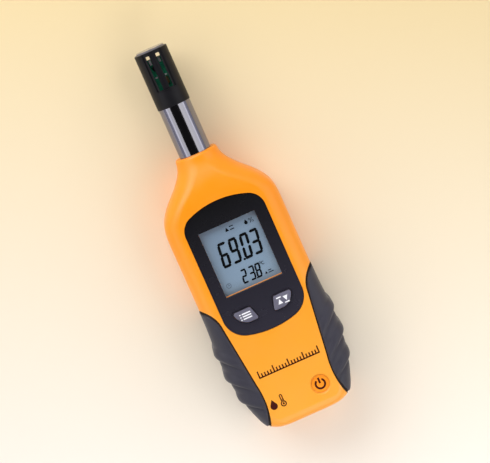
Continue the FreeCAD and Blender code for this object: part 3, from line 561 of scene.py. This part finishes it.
def rubber_depth(point, inward, rim, seam):
    """Thickness of the rubber over its recess floor, in millimetres."""
    if rim < GROOVE_WIDTH:
        return GROOVE_LEVEL
    depth = GRIP_DEEP + GRIP_SIDE * (1 - smoothstep(inward / SIDE_REACH)) + GRIP_PROUD
    depth += ridge_height(point.y / MM, inward)
    return depth - rim_drop(rim - GROOVE_WIDTH, EDGE_ROUND) - rim_drop(seam, SEAM_ROUND)


def grip_skins(rows, face):
    """Outer and inner skin points of a grip, and each one's distance from the rim."""
    count, wide = len(rows), len(rows[0])
    rim_points = rim_tree(rows)
    outer, inner, rims = [], [], []
    for i, row in enumerate(rows):
        before, after = rows[max(i - 1, 0)], rows[min(i + 1, count - 1)]
        for j, point in enumerate(row):
            along_row = row[min(j + 1, wide - 1)] - row[max(j - 1, 0)]
            normal = along_row.cross(after[j] - before[j]).normalized()
            if normal.dot(point - Vector((GRIP_CENTRE * MM, point.y, PARTING * MM))) < 0:
                normal = -normal
            rims.append(rim_points.find(point)[2] / MM)
            depth = rubber_depth(point, (row[-1].x - point.x) / MM, rims[-1],
                                 (row[-1] - point).length / MM)
            raised = point + normal * depth * MM
            raised.y = max(raised.y, rows[-1][j].y)
            raised.z = max(raised.z, 0.0)
            outer.append(raised)
            inner.append(point + normal * BACKING * MM)
    for points in (outer, inner):
        for index in range(wide - 1, len(points), wide):
            points[index].z = parting_level(face)
    return outer, inner, rims


def close_grip(half, rows, face):
    """Join the two skins of a grip into a closed solid, and make its mirror image too."""
    count, wide = len(rows), len(rows[0])
    outer, inner, rims = grip_skins(rows, face)
    faces, dark = [], []
    shift = len(outer)
    for i in range(count - 1):
        for j in range(wide - 1):
            quad = [i * wide + j, i * wide + j + 1, (i + 1) * wide + j + 1, (i + 1) * wide + j]
            faces.append(quad)
            dark.append(min(rims[index] for index in quad) < GROOVE_WIDTH)
            faces.append([index + shift for index in reversed(quad)])
            dark.append(False)
    border = (list(range(wide))
              + [i * wide + wide - 1 for i in range(1, count)]
              + [(count - 1) * wide + j for j in range(wide - 2, -1, -1)]
              + [i * wide for i in range(count - 2, 0, -1)])
    for a, b in zip(border, border[1:] + border[:1]):
        faces.append([b, a, a + shift, b + shift])
        dark.append(True)
    for side in (1, -1):
        name = f"{half}_{'right' if side > 0 else 'left'}_grip"
        points = [Vector((side * point.x, point.y, point.z)) for point in outer + inner]
        turned = faces if side * face > 0 else [quad[::-1] for quad in faces]
        piece = solid_from(name + "_ridged", points, turned, MATERIALS["grip_rubber"], "case")
        # Faces along the rim and the side walls take the near-black painted-shadow material.
        piece.data.materials.append(GROOVE_PAINTED_SHADE)
        for polygon, in_groove in zip(piece.data.polygons, dark):
            polygon.material_index = int(in_groove)
        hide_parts(name)


def rim_drop(distance, radius):
    """How far a rounded rim falls at this distance from its edge."""
    if distance >= radius:
        return 0.0
    share = 1 - max(distance, 0.0) / radius
    return radius * (1 - math.sqrt(max(1 - share * share, 0.0)))


# Rubber domes under the keys.

DOME_WALL = 0.5
DOME_TOP_RADIUS = 2.7
DOME_LEVELS = 12
DOME_SIDES = 48


def rubber_dome(key):
    """Bell of silicone under a key, revolved from a profile that narrows towards its top."""
    low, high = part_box(f"{key}_dome")
    middle = (low + high) / 2
    base, rise = (high.x - low.x) / 2, high.z - low.z
    profile = []
    for index in range(DOME_LEVELS + 1):
        share = index / DOME_LEVELS
        radius = base + (DOME_TOP_RADIUS * MM - base) * smoothstep(share)
        profile.append((radius, low.z + rise * share))
    profile += [(radius - DOME_WALL * MM, level) for radius, level in reversed(profile)]
    count = len(profile)
    points, faces = [], []
    for side in range(DOME_SIDES):
        angle = 2 * math.pi * side / DOME_SIDES
        points += [Vector((middle.x + radius * math.cos(angle),
                           middle.y + radius * math.sin(angle), level))
                   for radius, level in profile]
        following = (side + 1) % DOME_SIDES
        faces += [[side * count + i, following * count + i,
                   following * count + (i + 1) % count, side * count + (i + 1) % count]
                  for i in range(count)]
    piece = solid_from(f"{key}_dome_bell", points, faces, MATERIALS["silicone"], "case")
    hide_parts(f"{key}_dome")
    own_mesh(piece)


# Display.

PRINT_THICK = 0.04
MAIN_DIGITS = (("6", -9.75), ("9", -4.05), ("0", 2.0), ("3", 7.4))
MAIN_LOW = -14.2
MAIN_SIZE = (4.6, 12.9, 1.4)
SMALL_DIGITS = (("2", -4.0), ("3", 0.2), ("8", 3.5))
SMALL_LOW = -25.2
SMALL_SIZE = (2.95, 7.3, 0.9)
DIGIT_LEAN = math.tan(math.radians(7))
SEGMENT_GAP = 0.12
SEGMENTS = {"0": "abcdef", "2": "abged", "3": "abgcd", "6": "afedcg", "8": "abcdefg",
            "9": "abcdfg"}


def segment_outline(which, wide, tall, stroke, gap):
    """Outline of one segment of a digit whose lower left corner is at the origin."""
    half = tall / 2
    tip = stroke / 2
    if which in "agd":
        level = {"a": tall - tip, "g": half, "d": tip}[which]
        return [(gap, level), (gap + tip, level + tip), (wide - gap - tip, level + tip),
                (wide - gap, level), (wide - gap - tip, level - tip), (gap + tip, level - tip)]
    across = tip if which in "fe" else wide - tip
    low = half if which in "fb" else tip
    high = tall - tip if which in "fb" else half
    return [(across, low + gap), (across - tip, low + gap + tip),
            (across - tip, high - gap - tip), (across, high - gap),
            (across + tip, high - gap - tip), (across + tip, low + gap + tip)]


def digit(figure, left, low, wide, tall, stroke):
    """Slanted seven-segment digit as a list of outlines."""
    gap = stroke * SEGMENT_GAP
    return [[(left + x + (y - tall / 2) * DIGIT_LEAN, low + y)
             for x, y in segment_outline(which, wide, tall, stroke, gap)]
            for which in SEGMENTS[figure]]


def ring(x, y, radius, stroke, start=0, sweep=360, steps=40):
    """Closed outlines that make up a ring or part of one, as short blocks."""
    shapes = []
    for index in range(steps):
        turn = [math.radians(start + sweep * (index + share) / steps) for share in (0, 1)]
        inner, outer = radius - stroke / 2, radius + stroke / 2
        shapes.append([(x + size * math.cos(angle), y + size * math.sin(angle))
                       for angle, size in ((turn[0], inner), (turn[0], outer),
                                           (turn[1], outer), (turn[1], inner))])
    return shapes


def disc(x, y, radius, steps=20):
    return [[(x + radius * math.cos(2 * math.pi * index / steps),
              y + radius * math.sin(2 * math.pi * index / steps)) for index in range(steps)]]


def bar(x, y, wide, tall):
    return [[(x, y), (x + wide, y), (x + wide, y + tall), (x, y + tall)]]


def triangle(x, y, wide, tall):
    """Triangle pointing up, or down when tall is negative."""
    return [[(x - wide / 2, y), (x + wide / 2, y), (x, y + tall)]]


def drop(x, y, tall, steps=24):
    """Solid water drop standing on (x, y)."""
    radius = tall * 0.34
    outline = []
    for index in range(steps + 1):
        angle = math.radians(-215 + 250 * index / steps)
        outline.append((x + radius * math.cos(angle), y + radius + radius * math.sin(angle)))
    outline.append((x, y + tall))
    return [outline]


def readings():
    """Humidity above, temperature below, and the small generic signs round them."""
    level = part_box("lcd_glass")[1].z + 0.02 * MM
    main = []
    for figure, left in MAIN_DIGITS:
        main += digit(figure, left, MAIN_LOW, *MAIN_SIZE)
    main += disc(1.0, -13.7, 0.6)
    for figure, left in SMALL_DIGITS:
        main += digit(figure, left, SMALL_LOW, *SMALL_SIZE)
    main += disc(3.15, -24.9, 0.38)
    main += ring(7.2, -18.4, 0.42, 0.24, steps=16)
    main += ring(8.6, -19.0, 0.75, 0.3, start=50, sweep=260, steps=20)
    main += drop(8.9, 1.9, 2.6)
    main += ring(10.9, 3.8, 0.4, 0.24, steps=14) + ring(12.4, 2.4, 0.4, 0.24, steps=14)
    main += [[(10.7, 1.9), (11.1, 1.9), (12.6, 4.3), (12.2, 4.3)]]
    main += triangle(-1.3, 2.5, 2.0, 2.1) + bar(0.3, 2.5, 2.2, 0.5) + bar(0.3, 4.1, 2.2, 0.5)
    main += triangle(8.1, -24.9, 1.4, 1.4) + bar(9.3, -24.9, 2.6, 0.4)
    main += bar(9.3, -23.8, 1.8, 0.4)
    piece = flat_print("lcd_readings", main, level, PRINT_THICK * MM, INKS["segment"], "case")
    clock = ring(-11.6, -22.9, 1.15, 0.3, steps=30) + bar(-11.75, -22.9, 0.3, 0.85)
    clock += bar(-11.75, -23.05, 0.75, 0.28)
    faint = flat_print("lcd_clock_sign", clock, level, PRINT_THICK * MM, INKS["faint"], "case")


def key_legends():
    """Signs on the keys: a list for the mode key, up and down for the limits key."""
    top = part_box("mode_key")[1].z + 0.01 * MM
    lines = []
    for step in range(3):
        lines += bar(-12.9, -41.0 + step * 1.3, 0.7, 0.62)
        lines += bar(-11.6, -41.0 + step * 1.3, 4.6, 0.62)
    piece = flat_print("mode_sign", lines, top, 0.05 * MM, INKS["legend"], "mode_button")
    arrows = triangle(8.5, -41.0, 2.5, 2.5) + bar(7.25, -38.0, 2.5, 0.6)
    arrows += triangle(11.9, -37.9, 2.5, -2.5) + bar(10.65, -41.5, 2.5, 0.6)
    piece = flat_print("limits_sign", arrows, top, 0.05 * MM, INKS["legend"], "max_min_button")


def power_sign():
    """Broken ring and stroke on the power key."""
    low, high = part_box("power_key")
    x, y = (low.x + high.x) / 2 / MM, (low.y + high.y) / 2 / MM
    shapes = ring(x, y, 2.4, 1.0, start=125, sweep=290, steps=40)
    shapes += bar(x - 0.5, y + 0.3, 1.0, 3.0)
    piece = flat_print("power_sign", shapes, high.z + 0.005 * MM, PRINT_THICK * MM,
                       INKS["print"], "power_button")


SCALE_LEFT = -16.5
SCALE_LOW = -71.7
SCALE_LONG = 33.0
SCALE_STEP = 1.615
SCALE_STROKE = 0.7


def face_prints():
    """Printed scale under the panel, and a drop and a thermometer at the lower left."""
    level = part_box("front_shell")[1].z
    scale = bar(SCALE_LEFT, SCALE_LOW, SCALE_LONG, SCALE_STROKE)
    for step in range(21):
        tall = 3.8 if step % 5 == 0 else 2.2
        scale += bar(SCALE_LEFT + step * SCALE_STEP, SCALE_LOW + 0.2, SCALE_STROKE, tall)
    piece = flat_print("printed_scale", scale, level, 0.03 * MM, INKS["print"], "case")
    signs = drop(-15.4, -89.2, 5.4)
    signs += ring(-10.4, -88.0, 1.25, 0.6, start=115, sweep=310, steps=28)
    signs += bar(-11.2, -87.0, 0.55, 3.4) + bar(-10.15, -87.0, 0.55, 3.4)
    signs += ring(-10.4, -83.6, 0.53, 0.55, start=0, sweep=180, steps=14)
    signs += disc(-10.4, -88.0, 0.5) + bar(-10.55, -88.0, 0.3, 2.6)
    piece = flat_print("printed_signs", signs, level, 0.03 * MM, INKS["print"], "case")


# Stage.

def softbox(name, toward, distance, size, radiance, aim):
    """Rectangular studio light of a given brightness, facing a point from one direction."""
    data = bpy.data.lights.new(name, "AREA")
    data.shape = "RECTANGLE"
    data.size, data.size_y = size
    data.energy = radiance * math.pi * size[0] * size[1]
    lamp = bpy.data.objects.new(name, data)
    direction = Vector(toward).normalized()
    lamp.location = aim + direction * distance
    lamp.rotation_euler = direction.to_track_quat("Z", "Y").to_euler()
    lamp.visible_camera = False
    bpy.context.scene.collection.objects.link(lamp)


FLOOR_HALF = 3.0
FLOOR_LEVEL = -0.1 * MM


def floor():
    """Plain pale floor of cream paper, graded a little along its length."""
    material, surface = finish("floor_paper_cream", Roughness=0.85)
    place = add(material, "ShaderNodeTexCoord")
    turn = add(material, "ShaderNodeMapping", {"Vector": place.outputs["Object"],
                                               "Rotation": (0, 0, CAMERA_LEAN)})
    split = add(material, "ShaderNodeSeparateXYZ", {"Vector": turn.outputs["Vector"]})
    along = add(material, "ShaderNodeMapRange", {
        "Value": split.outputs["Y"], "From Min": -0.14, "From Max": 0.12})
    tone = add(material, "ShaderNodeValToRGB", {"Fac": along.outputs["Result"]},
               stops=[(0.0, "#F8F0E6"), (1.0, "#EBD4A2")])
    material.node_tree.links.new(tone.outputs["Color"], surface.inputs["Base Color"])
    points = [(x * FLOOR_HALF, y * FLOOR_HALF, FLOOR_LEVEL)
              for x, y in ((-1, -1), (1, -1), (1, 1), (-1, 1))]
    mesh = bpy.data.meshes.new("floor")
    mesh.from_pydata(points, [], [[0, 1, 2, 3]])
    mesh.materials.append(material)
    plane = bpy.data.objects.new("floor", mesh)
    bpy.context.scene.collection.objects.link(plane)


CAMERA_LEAN = math.radians(23.9)
CAMERA_PITCH = math.radians(8.5)
CAMERA_LENS = 180
SENSOR_WIDTH = 36
FIELD_WIDTH = 0.2455
AIM_RIGHT = 0.0073


def camera():
    """Camera over the face, tipped a little towards the probe, with the instrument leaning."""
    data = bpy.data.cameras.new("camera")
    data.lens = CAMERA_LENS
    data.sensor_width = SENSOR_WIDTH
    data.clip_end = 20
    eye = bpy.data.objects.new("camera", data)
    bpy.context.scene.collection.objects.link(eye)
    back = Vector((0, math.sin(CAMERA_PITCH), math.cos(CAMERA_PITCH)))
    uphill = Vector((0, math.cos(CAMERA_PITCH), -math.sin(CAMERA_PITCH)))
    across = Vector((1, 0, 0))
    right = across * math.cos(CAMERA_LEAN) - uphill * math.sin(CAMERA_LEAN)
    up = across * math.sin(CAMERA_LEAN) + uphill * math.cos(CAMERA_LEAN)
    middle = Vector((0, 0, PARTING * MM))
    aim = middle + right * AIM_RIGHT
    distance = FIELD_WIDTH * CAMERA_LENS / SENSOR_WIDTH
    eye.matrix_world = matrix_from(right, up, back, aim + back * distance)
    bpy.context.scene.camera = eye
    return middle


def matrix_from(right, up, back, place):
    rows = [[right[i], up[i], back[i], place[i]] for i in range(3)]
    return Matrix(rows + [[0, 0, 0, 1]])


def surround():
    """Dim overhead and pale towards the horizon, as in a white room with its ceiling dark."""
    world = bpy.data.worlds.new("surround")
    world.use_nodes = True
    place = add(world, "ShaderNodeTexCoord")
    split = add(world, "ShaderNodeSeparateXYZ", {"Vector": place.outputs["Generated"]})
    tone = add(world, "ShaderNodeValToRGB", {"Fac": split.outputs["Z"]},
               stops=[(0.42, "#C6C3C6"), (0.56, "#1C1B1C")])
    tone.color_ramp.interpolation = "EASE"
    world.node_tree.links.new(tone.outputs["Color"],
                              world.node_tree.nodes["Background"].inputs["Color"])
    bpy.context.scene.world = world


def leaning(degrees):
    """Direction in the XZ plane this far round from straight above."""
    return (math.sin(math.radians(degrees)), 0.0, math.cos(math.radians(degrees)))


# Name, direction, distance, the light's own width and height in metres, and radiance.
LIGHTS = (
    ("right_light", leaning(47), 0.9, (1.2, 0.73), 1.2),
    ("left_light", leaning(-54.5), 0.9, (1.2, 0.52), 1.1),
    ("tip_light", (-0.25, 0.85, 0.6), 1.0, (1.0, 0.7), 4.2),
    ("end_light", (0.05, -0.36, 0.33), 0.5, (0.6, 0.3), 2.2),
)


def studio():
    """Soft lights from the sides and, strongest, from the probe end; dark straight above."""
    middle = camera()
    for name, toward, distance, size, radiance in LIGHTS:
        softbox(name, toward, distance, size, radiance, middle)
    surround()
    bpy.context.scene.view_settings.view_transform = "Standard"
    floor()


EDGE_WIDTHS = {"mode_key": 0.45, "max_min_key": 0.45, "power_key": 0.4, "display_panel": 0.12,
               "battery_door": 0.15, "case_screws": 0.12}


def build():
    dress_nodes()
    for name, width in EDGE_WIDTHS.items():
        soften_edges(name, width)
    for face in (1, -1):
        grip(face)
    for key in ("mode", "max_min", "power"):
        rubber_dome(key)
    readings()
    key_legends()
    power_sign()
    face_prints()
    studio()


build()
